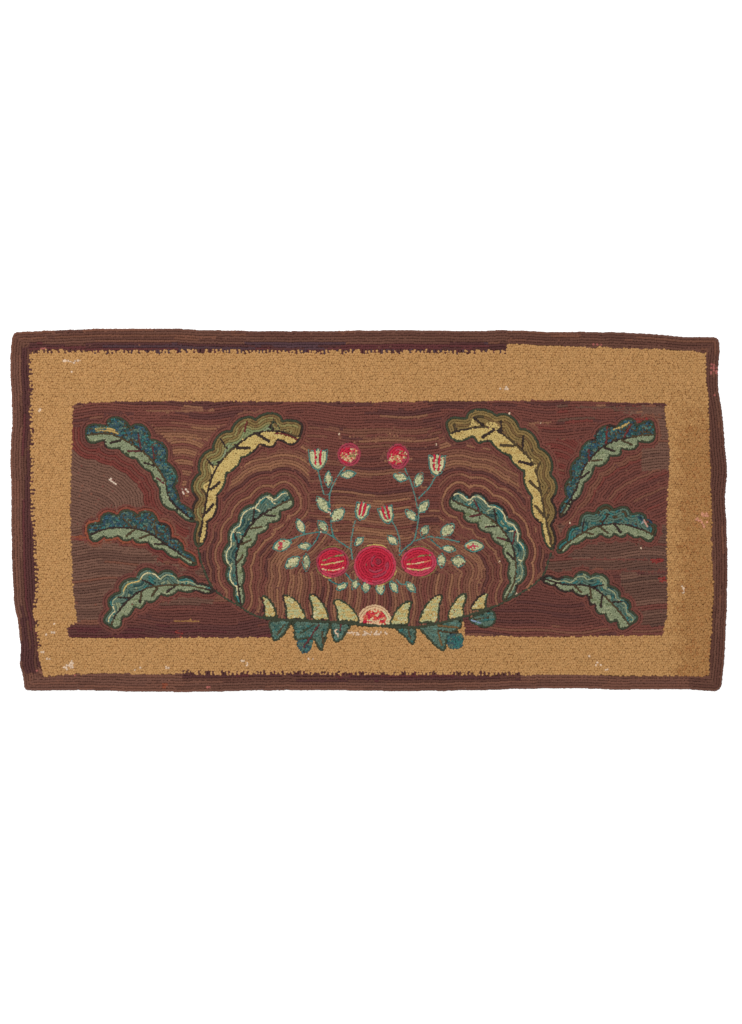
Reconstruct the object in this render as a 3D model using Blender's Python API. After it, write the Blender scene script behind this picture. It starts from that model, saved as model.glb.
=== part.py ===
"""A hooked hearth rug: one flat, soft-edged solid.

Wool loops are pulled up in rows through one piece of linen, whose edges are hemmed to the back under
the outer rows. The loops can't be parted from the cloth, so the rug is one body.

Metres, +Z up. The rug lies flat, its long side along X. The origin is the middle of the underside.
"""

import math

import bmesh
import bpy

LENGTH = 1.520  # the furthest that the left and right sides reach, end to end
WIDTH = 0.769  # the same for the bottom and top sides
THICKNESS = 0.008  # stitches on the back, linen and the loops over it

RIM_RADIUS = 0.0035  # the outer row of loops rolls over from the top to the side
RIM_STEPS = 4  # flats round that quarter turn
TUCK = 0.0015  # the hemmed edge lies this far in under the outer row
TUCK_HEIGHT = 0.0020  # and the outer row starts to overhang it at this height
POINT_EVERY = 0.020  # spacing of the outline's points along a side
CORNER_STEPS = 6  # flats round a corner

RIPPLE = 0.0006  # the small, quick waviness that rows worked by hand leave along every edge
RIPPLE_LENGTHS = (0.093, 0.061)  # lengths of the two waves that it is made of

# Each side of the rug wanders. "along" is the place on the side, from the rug's middle, and "short" is
# how far the edge falls short of the rug's full reach there, both in millimetres.
# along, short
TOP_SIDE = (
    (-760, 8),
    (-680, 5),
    (-570, 1),
    (-440, 0),
    (-340, 4),
    (-150, 6),
    (60, 4),
    (230, 6),
    (290, 4),
    (370, 7),
    (500, 8),
    (600, 12),
    (665, 18),
    (760, 19),
)
BOTTOM_SIDE = (
    (-760, 2),
    (-600, 4),
    (-510, 1),
    (-370, 0),
    (-250, 3),
    (-130, 4),
    (70, 2),
    (240, 4),
    (330, 7),
    (450, 8),
    (520, 5),
    (660, 6),
    (760, 0),
)
LEFT_SIDE = (
    (-385, 30),
    (-350, 26),
    (-325, 20),
    (-295, 23),
    (-265, 19),
    (-230, 15),
    (-195, 8),
    (-150, 6),
    (-80, 3),
    (60, 2),
    (120, 0),
    (180, 4),
    (245, 3),
    (310, 0),
    (385, 5),
)
RIGHT_SIDE = (
    (-385, 14),
    (-330, 8),
    (-280, 5),
    (-190, 1),
    (-120, 0),
    (-40, 2),
    (30, 5),
    (85, 1),
    (150, 7),
    (205, 11),
    (245, 18),
    (280, 21),
    (340, 17),
    (385, 20),
)
CORNER_RADIUS = {
    "bottom left": 0.013,
    "bottom right": 0.016,
    "top right": 0.010,
    "top left": 0.014,
}

WOOL_BROWN = (0.130, 0.060, 0.042, 1.0)


def short_of(side, along):
    """How far a side falls short of its full reach at this place: a smooth curve through its table."""
    rows = [(place / 1000, short / 1000) for place, short in side]
    along = min(max(along, rows[0][0]), rows[-1][0])
    last = len(rows) - 1
    i = next(i for i in range(last) if along <= rows[i + 1][0])
    (x0, y0), (x1, y1) = rows[i], rows[i + 1]
    span = x1 - x0

    def slope(k):
        before, after = rows[max(k - 1, 0)], rows[min(k + 1, last)]
        return (after[1] - before[1]) / (after[0] - before[0])

    t = (along - x0) / span
    rise = (2 * t**3 - 3 * t**2 + 1) * y0 + (3 * t**2 - 2 * t**3) * y1
    lean = (t**3 - 2 * t**2 + t) * slope(i) + (t**3 - t**2) * slope(i + 1)
    ripple = sum(math.sin(math.tau * along / wave + place) for place, wave in enumerate(RIPPLE_LENGTHS))
    return max(rise + lean * span + RIPPLE * (ripple - 1) / 2, 0)


def on_side(name, along):
    """The point of a side's edge at this place."""
    if name == "bottom":
        return along, -WIDTH / 2 + short_of(BOTTOM_SIDE, along)
    if name == "right":
        return LENGTH / 2 - short_of(RIGHT_SIDE, along), along
    if name == "top":
        return along, WIDTH / 2 - short_of(TOP_SIDE, along)
    return -LENGTH / 2 + short_of(LEFT_SIDE, along), along


def where_sides_meet(level_side, upright_side):
    """The sharp corner that a top or bottom side and a left or right side would make."""
    x = LENGTH / 2 if upright_side == "right" else -LENGTH / 2
    y = WIDTH / 2 if level_side == "top" else -WIDTH / 2
    for _ in range(8):
        x = on_side(upright_side, y)[0]
        y = on_side(level_side, x)[1]
    return x, y


def round_corner(before, corner, after):
    """Points on a smooth turn from one side to the next, the first and last of them left out."""
    points = []
    for step in range(1, CORNER_STEPS):
        t = step / CORNER_STEPS
        points.append(
            tuple(
                (1 - t) ** 2 * before[k] + 2 * t * (1 - t) * corner[k] + t**2 * after[k]
                for k in (0, 1)
            )
        )
    return points


def outline():
    """The rug's edge, anticlockwise from the bottom left corner."""
    order = (
        ("bottom", "bottom left", "bottom right"),
        ("right", "bottom right", "top right"),
        ("top", "top right", "top left"),
        ("left", "top left", "bottom left"),
    )
    corners = {
        name: where_sides_meet(name.split()[0], name.split()[1]) for name in CORNER_RADIUS
    }
    sides = []
    for side, start, end in order:
        axis = 0 if side in ("bottom", "top") else 1
        heading = 1 if corners[end][axis] > corners[start][axis] else -1
        first = corners[start][axis] + heading * CORNER_RADIUS[start]
        last = corners[end][axis] - heading * CORNER_RADIUS[end]
        count = round(abs(last - first) / POINT_EVERY)
        sides.append([on_side(side, first + (last - first) * i / count) for i in range(count + 1)])
    points = []
    for i, (side, start, end) in enumerate(order):
        points += sides[i]
        points += round_corner(sides[i][-1], corners[end], sides[(i + 1) % 4][0])
    # The sides' smooth curves and ripples are moved and stretched by under a millimetre, so that the
    # furthest points are at the rug's full length and width, and its middle is at the origin.
    low = [min(p[k] for p in points) for k in (0, 1)]
    high = [max(p[k] for p in points) for k in (0, 1)]
    reach = (LENGTH, WIDTH)
    return [
        tuple((p[k] - (low[k] + high[k]) / 2) * reach[k] / (high[k] - low[k]) for k in (0, 1))
        for p in points
    ]


def drawn_in(points, distance):
    """The outline moved inwards by this distance, each point along its own normal."""
    moved = []
    for i, (x, y) in enumerate(points):
        (x0, y0), (x1, y1) = points[i - 1], points[(i + 1) % len(points)]
        length = math.hypot(x1 - x0, y1 - y0)
        moved.append((x - (y1 - y0) / length * distance, y + (x1 - x0) / length * distance))
    return moved


def profile():
    """The edge's section from the underside to the top, as pairs of inset and height."""
    section = [(TUCK, 0.0), (0.0, TUCK_HEIGHT)]
    for step in range(RIM_STEPS + 1):
        turn = math.pi / 2 * step / RIM_STEPS
        section.append(
            (
                RIM_RADIUS * (1 - math.cos(turn)),
                THICKNESS - RIM_RADIUS * (1 - math.sin(turn)),
            )
        )
    return section


def clear_scene():
    for ob in list(bpy.data.objects):
        bpy.data.objects.remove(ob)


def wool():
    material = bpy.data.materials.new("wool")
    material.use_nodes = True
    shader = material.node_tree.nodes["Principled BSDF"]
    shader.inputs["Base Color"].default_value = WOOL_BROWN
    shader.inputs["Roughness"].default_value = 0.95
    shader.inputs["Metallic"].default_value = 0.0
    return material


def build_rug():
    """Rings of the outline are joined up the edge's section, and closed by a flat underside and top."""
    edge = outline()
    bm = bmesh.new()
    rings = [
        [bm.verts.new((x, y, height)) for x, y in drawn_in(edge, inset)]
        for inset, height in profile()
    ]
    for below, above in zip(rings, rings[1:]):
        for i in range(len(edge)):
            j = (i + 1) % len(edge)
            bm.faces.new((below[i], below[j], above[j], above[i]))
    bm.faces.new(list(reversed(rings[0])))
    bm.faces.new(rings[-1])
    mesh = bpy.data.meshes.new("rug")
    bm.to_mesh(mesh)
    bm.free()
    rug = bpy.data.objects.new("rug", mesh)
    bpy.context.scene.collection.objects.link(rug)
    mesh.materials.append(wool())
    mesh.shade_smooth()
    mesh.set_sharp_from_angle(angle=math.radians(50))


clear_scene()
build_rug()
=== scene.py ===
import math

import bpy
import numpy as np
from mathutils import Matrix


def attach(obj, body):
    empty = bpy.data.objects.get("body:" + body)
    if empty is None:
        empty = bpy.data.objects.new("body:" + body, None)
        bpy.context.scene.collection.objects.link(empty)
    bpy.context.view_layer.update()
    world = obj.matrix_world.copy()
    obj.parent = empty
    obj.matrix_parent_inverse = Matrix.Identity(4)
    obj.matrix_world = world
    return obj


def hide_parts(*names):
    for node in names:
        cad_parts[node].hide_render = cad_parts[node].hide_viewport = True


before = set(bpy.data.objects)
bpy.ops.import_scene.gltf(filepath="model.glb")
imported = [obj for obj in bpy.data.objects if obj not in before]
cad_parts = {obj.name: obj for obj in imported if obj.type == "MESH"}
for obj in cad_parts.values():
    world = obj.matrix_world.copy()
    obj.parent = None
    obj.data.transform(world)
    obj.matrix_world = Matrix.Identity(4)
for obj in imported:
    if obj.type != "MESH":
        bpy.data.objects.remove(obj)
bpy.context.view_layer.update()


# The ground cloth: one piece of plain-woven linen that the wool is hooked through. It is cut to the
# rug's outline, and the flat backs of the stitches show on its underside. It lies on the floor.
CLOTH_THICKNESS = 0.0012
CLOTH_INSET = 0.0016
CLOTH_STEPS = (172, 88)
OUTLINE_HEIGHT = 0.0045


def rug_outline():
    """The rug's edge, in metres, anticlockwise from its right side."""
    points = [vertex.co for vertex in bpy.data.objects["rug"].data.vertices]
    places = {(round(p.x, 6), round(p.y, 6)) for p in points if abs(p.z - OUTLINE_HEIGHT) < 1e-4}
    return np.array(sorted(places, key=lambda place: math.atan2(place[1], place[0])))


def deselect_everything():
    for thing in bpy.context.selected_objects:
        thing.select_set(False)


edge = rug_outline()
edge_angle = np.arctan2(edge[:, 1], edge[:, 0])
edge_radius = np.hypot(edge[:, 0], edge[:, 1])
rug_length = edge[:, 0].max() - edge[:, 0].min()
rug_width = edge[:, 1].max() - edge[:, 1].min()

deselect_everything()
bpy.ops.mesh.primitive_grid_add(x_subdivisions=CLOTH_STEPS[0], y_subdivisions=CLOTH_STEPS[1], size=2.0)
cloth = bpy.context.active_object
cloth.name = "ground_cloth"
cloth.data.name = "ground_cloth"
spots = np.empty(len(cloth.data.vertices) * 3)
cloth.data.vertices.foreach_get("co", spots)
spots = spots.reshape(-1, 3)
half = np.array([rug_length / 2, rug_width / 2])
flat = spots[:, :2] * half
reach = np.maximum(np.abs(spots[:, :2]).max(axis=1), 1e-9)
rim = flat / reach[:, None]
rim_radius = np.maximum(np.hypot(rim[:, 0], rim[:, 1]), 1e-6)
true_radius = np.interp(np.arctan2(rim[:, 1], rim[:, 0]), edge_angle, edge_radius, period=2 * math.pi)
spots[:, :2] = flat * ((true_radius - CLOTH_INSET) / rim_radius)[:, None]
spots[:, 2] = CLOTH_THICKNESS
cloth.data.vertices.foreach_set("co", spots.ravel())
thickness = cloth.modifiers.new("thickness", "SOLIDIFY")
thickness.thickness = CLOTH_THICKNESS
thickness.offset = -1.0
bpy.ops.object.modifier_apply(modifier=thickness.name)


def set_inputs(node, values):
    for name, value in values.items():
        node.inputs[name].default_value = value


def add_node(material, kind, values, **settings):
    """Adds a node with its settings, then the values of its inputs."""
    node = material.node_tree.nodes.new(kind)
    for name, setting in settings.items():
        setattr(node, name, setting)
    set_inputs(node, values)
    return node


def new_material(name, values):
    material = bpy.data.materials.new(name)
    material.use_nodes = True
    set_inputs(material.node_tree.nodes["Principled BSDF"], values)
    return material


def colour_and_raise(material, dye_name, tone, share, height, strength, distance):
    """Colours a material by a dye held at the mesh's points times a tone, and raises it by a height."""
    links = material.node_tree.links
    shader = material.node_tree.nodes["Principled BSDF"]
    dyed = add_node(material, "ShaderNodeAttribute", {}, attribute_name=dye_name)
    mixed = add_node(material, "ShaderNodeMix", {}, data_type="RGBA", blend_type="MULTIPLY")
    mixed.inputs["Factor"].default_value = share
    links.new(dyed.outputs["Color"], mixed.inputs["A"])
    links.new(tone, mixed.inputs["B"])
    links.new(mixed.outputs["Result"], shader.inputs["Base Color"])
    bump = add_node(material, "ShaderNodeBump", {"Strength": strength, "Distance": distance})
    links.new(height, bump.inputs["Height"])
    links.new(bump.outputs["Normal"], shader.inputs["Normal"])


def linen():
    """Plain-woven linen: two sets of threads, with the wool of the stitches between them."""
    material = new_material("linen_ground", {"Roughness": 0.93, "Sheen Weight": 0.15})
    links = material.node_tree.links
    place = add_node(material, "ShaderNodeTexCoord", {})
    weave = add_node(material, "ShaderNodeMath", {}, operation="MAXIMUM")
    for number, direction in enumerate("XY"):
        thread = {"Scale": 190.0, "Distortion": 1.2, "Detail": 1.0}
        wave = add_node(material, "ShaderNodeTexWave", thread, bands_direction=direction)
        links.new(place.outputs["Object"], wave.inputs["Vector"])
        links.new(wave.outputs["Fac"], weave.inputs[number])
    woven = weave.outputs["Value"]
    colour_and_raise(material, "stitch_dye", woven, 0.55, woven, 0.6, 0.0006)
    return material


cloth.data.materials.append(linen())
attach(cloth, "root")
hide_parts("rug")


# The leaves: ten big scalloped leaves hooked in wool, five to a side. Each is outlined first in dark
# green, then gets its midrib and veins. One half is filled with rows that follow its edge, and the paler
# half with loose loops. Everything from here on is laid out in millimetres, in cells 1 mm square.
CELL_LEFT = -772.0
CELL_BOTTOM = -396.0
CELLS_WIDE = 1544
CELLS_HIGH = 792
cell_x, cell_y = np.meshgrid(
    CELL_LEFT + 0.5 + np.arange(CELLS_WIDE),
    CELL_BOTTOM + 0.5 + np.arange(CELLS_HIGH),
)
draw = np.random.default_rng(1846)

loop_place = []
loop_dye = []
loop_height = []


def inside(polygon):
    """Which cells, 1 mm square, lie inside a closed polygon in millimetres."""
    polygon = np.asarray(polygon, float)
    mask = np.zeros((CELLS_HIGH, CELLS_WIDE), bool)
    for (x1, y1), (x2, y2) in zip(polygon, np.roll(polygon, -1, axis=0)):
        if y1 == y2:
            continue
        low, high = min(y1, y2), max(y1, y2)
        first = max(0, math.ceil(low - CELL_BOTTOM - 0.5))
        last = min(CELLS_HIGH, math.ceil(high - CELL_BOTTOM - 0.5))
        for row in range(first, last):
            y = CELL_BOTTOM + row + 0.5
            x = x1 + (y - y1) / (y2 - y1) * (x2 - x1)
            col = min(max(0, math.ceil(x - CELL_LEFT - 0.5)), CELLS_WIDE)
            mask[row, col:] ^= True
    return mask


def distance_from(mask, limit):
    """Millimetres from every cell to the nearest cell of the mask, up to the limit."""
    far = limit + 1.0
    column = np.where(mask, 0.0, far)
    for row in range(1, len(column)):
        np.minimum(column[row], column[row - 1] + 1.0, out=column[row])
    for row in range(len(column) - 2, -1, -1):
        np.minimum(column[row], column[row + 1] + 1.0, out=column[row])
    square = column ** 2
    best = square.copy()
    for step in range(1, int(limit) + 1):
        np.minimum(best[:, step:], square[:, :-step] + step * step, out=best[:, step:])
        np.minimum(best[:, :-step], square[:, step:] + step * step, out=best[:, :-step])
    return np.minimum(np.sqrt(best), far)


def window(mask, margin=4):
    """The slices that just hold a mask."""
    rows = np.flatnonzero(mask.any(axis=1))
    cols = np.flatnonzero(mask.any(axis=0))
    if len(rows) == 0:
        return None
    return (
        slice(max(0, rows[0] - margin), rows[-1] + 1 + margin),
        slice(max(0, cols[0] - margin), cols[-1] + 1 + margin),
    )


def smooth(points, closed=False, step=2.0):
    """A smooth curve through points, with a point about every step."""
    points = np.asarray(points, float)
    if closed:
        points = np.vstack([points[-1], points, points[:2]])
    else:
        points = np.vstack([2 * points[0] - points[1], points, 2 * points[-1] - points[-2]])
    share = np.linspace(0, 1, 16, endpoint=False)[:, None]
    pieces = []
    for before, a, b, after in zip(points, points[1:], points[2:], points[3:]):
        pieces.append(
            0.5 * (2 * a + (b - before) * share + (2 * before - 5 * a + 4 * b - after) * share ** 2
                   + (3 * a - before - 3 * b + after) * share ** 3)
        )
    line = np.vstack(pieces + [points[-2][None]])
    return even(line, step)


def even(line, step):
    """The same line with its points evenly spaced."""
    gone = np.concatenate([[0.0], np.cumsum(np.hypot(*np.diff(line, axis=0).T))])
    stops = np.linspace(0, gone[-1], max(2, round(gone[-1] / step) + 1))
    return np.column_stack([np.interp(stops, gone, line[:, 0]), np.interp(stops, gone, line[:, 1])])


def depth_in(mask):
    """How many millimetres each cell of a mask lies in from its edge, and nought outside it."""
    view = window(mask, 8)
    depth = np.zeros(mask.shape)
    depth[view] = distance_from(~mask[view], 60)
    return depth


# What each cell holds: -2 off the rug, -1 while it is free, then the number of its loop.
rug_mask = inside(edge * 1000.0)
taken = np.where(rug_mask, -1, -2)

# A gauge is the space between rows and the space between the loops of one row, in millimetres.
FINE = (5.2, 3.7)
THIN = (4.8, 3.6)
PLAIN = (5.7, 4.05)
FILLED = 0.95
NEEDED = 0.45
REACH = 4
stencils = {}


def stencil(gauge, turn):
    """The cells that a loop fills and the smaller set that must be free for it."""
    if (gauge, turn) not in stencils:
        angle = turn * math.pi / 12
        row, col = np.mgrid[-REACH:REACH + 1, -REACH:REACH + 1]
        along = col * math.cos(angle) + row * math.sin(angle)
        across = row * math.cos(angle) - col * math.sin(angle)
        size = (along / (gauge[1] * 0.5)) ** 2 + (across / (gauge[0] * 0.5)) ** 2
        fill = size <= FILLED
        need = size <= NEEDED
        stencils[gauge, turn] = row[fill], col[fill], row[need], col[need]
    return stencils[gauge, turn]


def hook_loop(x, y, angle, gauge, spare=0.25):
    """Pulls up one loop if there is room, and gives its number, or None."""
    col = int(x - CELL_LEFT)
    row = int(y - CELL_BOTTOM)
    if not (REACH + 1 < col < CELLS_WIDE - REACH - 1 and REACH + 1 < row < CELLS_HIGH - REACH - 1):
        return None
    fill_row, fill_col, need_row, need_col = stencil(gauge, round(angle / math.pi * 12) % 12)
    there = taken[need_row + row, need_col + col]
    if np.count_nonzero(there != -1) > spare * len(there):
        return None
    number = len(loop_place)
    spot = taken[fill_row + row, fill_col + col]
    taken[fill_row + row, fill_col + col] = np.where(spot == -1, number, spot)
    loop_place.append((x, y, angle, gauge[1], gauge[0]))
    loop_dye.append(None)
    loop_height.append(1.0)
    return number


def dye(red, green, blue):
    """A wool's colour in the linear values that shaders use."""
    shares = np.array([red, green, blue]) / 255.0
    return np.where(shares <= 0.04045, shares / 12.92, ((shares + 0.055) / 1.055) ** 2.4)


STRAND_SPREAD = 0.034
LOOP_SPREAD = 0.024


def dye_row(numbers, wools, run):
    """Gives a row of loops its wool: each strand runs for a number of loops, then the next begins."""
    position = 0
    while position < len(numbers):
        x, y = loop_place[numbers[position]][:2]
        blend = wools(x, y) if callable(wools) else wools
        weights = np.array([weight for weight, colour in blend], float)
        colour = blend[draw.choice(len(blend), p=weights / weights.sum())][1]
        strand = np.array(colour) * (1 + draw.normal(0, STRAND_SPREAD))
        length = 1 + int(draw.exponential(run))
        for number in numbers[position:position + length]:
            if callable(wools) and wools(*loop_place[number][:2]) is not blend:
                break
            loop_dye[number] = strand * (1 + draw.normal(0, LOOP_SPREAD))
            position += 1


def hook_line(points, wools, gauge=FINE, run=30.0, spare=0.3, lift=1.0):
    """Hooks one row along a line, with its loops pulled up by a share of the pile's height."""
    line = even(np.asarray(points, float), gauge[1])
    numbers = []
    for index, (x, y) in enumerate(line):
        ahead = line[min(index + 1, len(line) - 1)] - line[max(index - 1, 0)]
        number = hook_loop(x, y, math.atan2(ahead[1], ahead[0]), gauge, spare)
        if number is not None:
            numbers.append(number)
            loop_height[number] = lift
    dye_row(numbers, wools, run)


def hook_lines(lines, wools, gauge=FINE, **more):
    for line in lines:
        hook_line(line, wools, gauge, **more)


LONGEST_ROW = 3000
LEAST_SLOPE = 0.3
LONGEST_SHIFT = 1.5
SHARPEST_TURN = -0.2
NEAR_LEVEL = 0.8


def follow(field, slope_x, slope_y, allowed, corner, level, start, turn, gauge, skip):
    """Hooks loops along one level line of a field until it ends or meets other loops."""
    x, y = start
    heading = None
    numbers = []
    while len(numbers) < LONGEST_ROW:
        col, row = int(x), int(y)
        if not (0 < row < field.shape[0] - 1 and 0 < col < field.shape[1] - 1):
            break
        across_x, across_y = slope_x[row, col], slope_y[row, col]
        steep = math.hypot(across_x, across_y)
        if steep < LEAST_SLOPE:
            break
        off = level - field[row, col] - across_x * (x - col - 0.5) - across_y * (y - row - 0.5)
        off = min(max(off / steep, -LONGEST_SHIFT), LONGEST_SHIFT)
        x += across_x / steep * off
        y += across_y / steep * off
        along = (-across_y / steep * turn, across_x / steep * turn)
        if heading and along[0] * heading[0] + along[1] * heading[1] < SHARPEST_TURN:
            break
        if not skip:
            if not allowed[int(y), int(x)]:
                break
            number = hook_loop(x + corner[0], y + corner[1], math.atan2(along[1], along[0]), gauge)
            if number is None:
                break
            numbers.append(number)
        skip = False
        x += along[0] * gauge[1]
        y += along[1] * gauge[1]
        heading = along
    return numbers


def hook_rows(field, allowed, wools, gauge=PLAIN, run=25.0, levels=None, first=None):
    """Fills an area with rows along the level lines of a field, half a row in from level nought."""
    first = gauge[0] / 2 if first is None else first
    view = window(allowed)
    if view is None:
        return
    field, allowed = field[view], allowed[view]
    corner = (CELL_LEFT + view[1].start, CELL_BOTTOM + view[0].start)
    slope_y, slope_x = np.gradient(field)
    if levels is None:
        lowest, highest = field[allowed].min(), field[allowed].max()
        levels = range(math.floor(lowest / gauge[0]), math.ceil(highest / gauge[0]) + 1)
    for number in levels:
        level = first + number * gauge[0]
        here = taken[view]
        near = np.argwhere(allowed & (np.abs(field - level) < NEAR_LEVEL) & (here == -1))
        for row, col in near:
            if here[row, col] != -1:
                continue
            start = (col + 0.5, row + 0.5)
            ahead = follow(field, slope_x, slope_y, allowed, corner, level, start, 1, gauge, False)
            if not ahead:
                continue
            behind = follow(field, slope_x, slope_y, allowed, corner, level, start, -1, gauge, True)
            row_wools = wools(number) if callable(wools) else wools
            dye_row(behind[::-1] + ahead, row_wools, run)


ODD_BROWN = dye(110, 72, 60)


def fill_gaps(allowed, wools=None, gauge=(4.6, 4.2), since=0):
    """Hooks a loop wherever a hole is left, in the wool given or that of a loop beside it."""
    for radius, spare in ((2, 0.12), (1, 0.42)):
        view = window(allowed)
        open_cells = (taken[view] == -1) & allowed[view]
        free = open_cells.copy()
        for step in range(radius):
            free[1:-1, 1:-1] = (
                free[1:-1, 1:-1] & free[:-2, 1:-1] & free[2:, 1:-1] & free[1:-1, :-2] & free[1:-1, 2:]
            )
        for row, col in np.argwhere(free):
            row += view[0].start
            col += view[1].start
            if taken[row, col] != -1:
                continue
            x, y = col + 0.5 + CELL_LEFT, row + 0.5 + CELL_BOTTOM
            number = hook_loop(x, y, draw.random() * math.pi, gauge, spare)
            if number is None:
                continue
            if wools:
                dye_row([number], wools, 0.0)
                continue
            around = taken[row - 6:row + 7, col - 6:col + 7].ravel()
            around = around[(around >= 0) & (around != number)]
            near = [n for n in around if n >= since and loop_dye[n] is not None]
            shade = loop_dye[near[draw.integers(len(near))]] if near else ODD_BROWN
            loop_dye[number] = shade * (1 + draw.normal(0, 0.05))


def wool():
    """Hand-spun wool: its dye from the loops, with painted shade at their feet and painted light at their
    crowns, fine fibres over it, a soft sheen and no gloss.
    """
    sheen = {"Sheen Weight": 0.03, "Sheen Roughness": 0.6, "Specular IOR Level": 0.06}
    material = new_material("wool_pile", sheen)
    links = material.node_tree.links
    place = add_node(material, "ShaderNodeTexCoord", {})
    fibres = add_node(material, "ShaderNodeTexNoise", {"Scale": 900.0, "Detail": 3.0, "Roughness": 0.65})
    tone = add_node(material, "ShaderNodeMapRange", {"To Min": 0.85, "To Max": 1.15})
    rough = add_node(material, "ShaderNodeMapRange", {"To Min": 0.8, "To Max": 0.98})
    links.new(place.outputs["Object"], fibres.inputs["Vector"])
    links.new(fibres.outputs["Fac"], tone.inputs["Value"])
    links.new(fibres.outputs["Fac"], rough.inputs["Value"])
    links.new(rough.outputs["Result"], material.node_tree.nodes["Principled BSDF"].inputs["Roughness"])
    colour_and_raise(material, "wool_dye_and_painted_shade", tone.outputs["Result"], 1.0, fibres.outputs["Fac"], 0.5, 0.0004)
    return material


wool_pile = wool()

# All in millimetres but the height's spread, which is a share of the height, and the number of sides.
ROOT_HEIGHT = 0.9
PILE_HEIGHT = 7.3
SIDES = 5
PLACE_SPREAD = 0.22
HEIGHT_SPREAD = 0.045
LEAN = 0.35


def worn(places, colour, chance=0.75, low=0.72):
    """Wears the wool away in small places, each given as x, y, length and width in millimetres."""
    loops = np.array(loop_place)
    for x, y, long, wide in places:
        within = ((loops[:, 0] - x) / (long / 2)) ** 2 + ((loops[:, 1] - y) / (wide / 2)) ** 2 < 1
        for number in np.flatnonzero(within):
            if draw.random() < chance:
                loop_dye[number] = colour * (1 + draw.normal(0, 0.07))
                loop_height[number] = low


def make_pile(name, numbers, stretch=1.5, narrow=0.95, twist=0.16):
    """Builds one piece of the pile from its loops, each a low hump with its foot in the cloth, its colour
    painted with shade at the foot and light at the crown.
    """
    place = np.array([loop_place[n] for n in numbers])
    colour = np.array([loop_dye[n] for n in numbers])
    lift = np.array([loop_height[n] for n in numbers])
    total = len(numbers)
    x = place[:, 0] + draw.normal(0, PLACE_SPREAD, total)
    y = place[:, 1] + draw.normal(0, PLACE_SPREAD, total)
    angle = place[:, 2] + draw.normal(0, twist, total)
    height = PILE_HEIGHT * lift * (1 + draw.normal(0, HEIGHT_SPREAD, total))
    lean = draw.normal(0, LEAN, (total, 2))
    rings = (
        # share of the loop's size, share of its height, and painted shade: darker at the foot for the shade
        # between loops, lighter at the crown for the light on top
        (0.88, 0.0, 0.96),
        (0.50, 0.87, 0.98),
        (0.0, 1.0, 1.02),
    )
    corners = np.arange(SIDES) * 2 * math.pi / SIDES + draw.random((total, 1)) * 1.2
    shapes = []
    painted_ring_shades = []
    for share, up, shade in rings:
        turns = corners if share else corners[:, :1]
        along = np.cos(turns) * place[:, 3:4] * share * stretch
        across = np.sin(turns) * place[:, 4:5] * share * narrow
        ring_x = x[:, None] + along * np.cos(angle)[:, None] - across * np.sin(angle)[:, None]
        ring_y = y[:, None] + along * np.sin(angle)[:, None] + across * np.cos(angle)[:, None]
        ring_z = np.broadcast_to(ROOT_HEIGHT + (height[:, None] - ROOT_HEIGHT) * up, turns.shape)
        tip = lean * up
        shapes.append(np.stack([ring_x + tip[:, :1], ring_y + tip[:, 1:], ring_z], axis=-1))
        painted_ring_shades.append(np.broadcast_to(colour[:, None, :] * shade, turns.shape + (3,)))
    shape = np.concatenate(shapes, axis=1)
    shade = np.concatenate(painted_ring_shades, axis=1)
    each = shape.shape[1]
    ring = np.arange(SIDES)
    beside = (ring + 1) % SIDES
    walls = np.column_stack([ring, beside, beside + SIDES, ring + SIDES])
    crown = np.column_stack([ring + SIDES, beside + SIDES, np.full(SIDES, 2 * SIDES)])
    start = (np.arange(total) * each)[:, None, None]
    corner_ids = np.concatenate([(walls[None] + start).reshape(-1), (crown[None] + start).reshape(-1)])
    mesh = bpy.data.meshes.new(name)
    mesh.vertices.add(total * each)
    mesh.vertices.foreach_set("co", (shape * 0.001).reshape(-1).astype(np.float32))
    sizes = np.concatenate([np.full(total * SIDES, 4), np.full(total * SIDES, 3)])
    mesh.loops.add(len(corner_ids))
    mesh.loops.foreach_set("vertex_index", corner_ids.astype(np.int32))
    mesh.polygons.add(len(sizes))
    mesh.polygons.foreach_set("loop_start", (np.cumsum(sizes) - sizes).astype(np.int32))
    mesh.polygons.foreach_set("use_smooth", np.ones(len(sizes), bool))
    mesh.update(calc_edges=True)
    # The colour held at each point is the wool's dye times its ring's painted shade.
    attribute = mesh.color_attributes.new("wool_dye_and_painted_shade", "FLOAT_COLOR", "POINT")
    rgba = np.ones((total * each, 4), np.float32)
    rgba[:, :3] = np.clip(shade.reshape(-1, 3), 0.0, 1.0)
    attribute.data.foreach_set("color", rgba.ravel())
    flat = shape[:, :, :2].reshape(-1, 2)
    flat = (flat - flat.min(axis=0)) / np.ptp(flat, axis=0)
    mesh.uv_layers.new(name="OFBake").uv.foreach_set("vector", flat[corner_ids].ravel())
    mesh.validate()
    mesh.materials.append(wool_pile)
    piece = bpy.data.objects.new(name, mesh)
    bpy.context.scene.collection.objects.link(piece)
    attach(piece, "root")
    print(name, total, "loops", total * SIDES * 3, "triangles")


DARK_GREEN = dye(62, 66, 51)
RIB_BROWN = dye(78, 64, 46)
BLACK_BROWN = dye(56, 44, 40)
PLUM = dye(92, 50, 50)
NAVY = dye(48, 66, 80)
SLATE = dye(62, 84, 88)
TEAL = dye(58, 108, 104)
GREY_TEAL = dye(88, 108, 94)
DEEP_TEAL = dye(50, 76, 74)
SAGE = dye(131, 138, 108)
PALE_SAGE = dye(152, 156, 122)
MOSS = dye(112, 120, 86)
CREAM = dye(198, 188, 146)
STRAW = dye(193, 168, 107)
GOLD_STRAW = dye(182, 152, 92)
OLIVE = dye(126, 104, 65)
KHAKI = dye(136, 124, 80)
GOLD_OLIVE = dye(138, 112, 69)
BROWN_OLIVE = dye(114, 88, 57)
RUST = dye(135, 74, 54)
MAROON_VEIN = dye(104, 50, 46)
STEEL_BLUE = dye(54, 86, 102)
MOSS_SAGE = dye(124, 130, 90)
DEEP_RUST = dye(128, 68, 54)
DUSTY_PINK = dye(186, 140, 122)
PEWTER = dye(150, 150, 150)

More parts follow.
